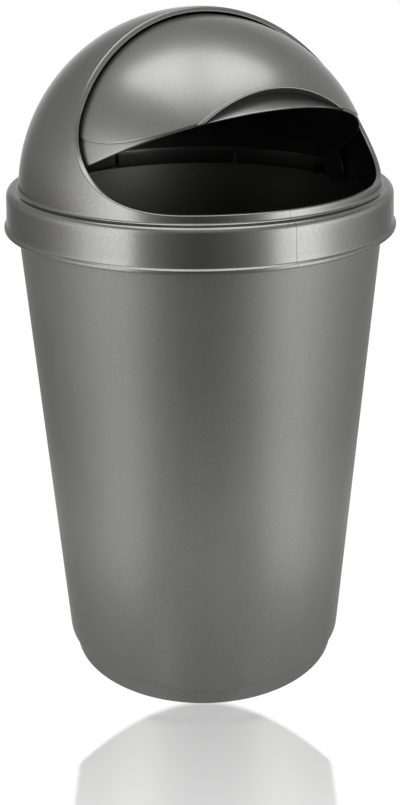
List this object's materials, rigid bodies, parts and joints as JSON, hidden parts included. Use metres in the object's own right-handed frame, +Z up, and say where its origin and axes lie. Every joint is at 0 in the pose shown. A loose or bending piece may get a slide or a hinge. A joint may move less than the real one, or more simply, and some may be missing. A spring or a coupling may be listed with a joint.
{
  "type": "sliding-lid trash can",
  "caption": "Free-standing round waste bin: a tapered bucket, a lift-off domed hood with a wide front mouth, and a roll-top flap that swings up inside the hood.",
  "frame": {"origin": "centre of the foot ring, on the floor", "axes": "+Z up, the mouth faces -Y, the flap's pivot axis runs along X"},
  "size_m": [0.39, 0.39, 0.67],
  "materials": {
    "bucket_silver": "satin silver-grey metallic finish outside, near-black inside",
    "hood_silver": "semi-gloss silver-grey metallic finish outside, near-black inside",
    "flap_silver": "semi-gloss silver-grey metallic finish outside, near-black inside",
    "pin_black": "plain black moulded plastic"
  },
  "bodies": {
    "bin": {"bin_body": "bucket_silver"},
    "hood": {"hood": "hood_silver", "pivot_pin_left": "pin_black", "pivot_pin_right": "pin_black"},
    "flap": {"flap": "flap_silver"}
  },
  "joints": [
    {"name": "hood_lift", "type": "slide", "parent": "bin", "child": "hood", "axis": [0, 0, 1], "range_m": [0, 0.15]},
    {"name": "flap_pivot", "type": "hinge", "parent": "hood", "child": "flap", "pos_m": [0, 0, 0.49], "axis": [1, 0, 0], "range_deg": [-42, 30]}
  ]
}
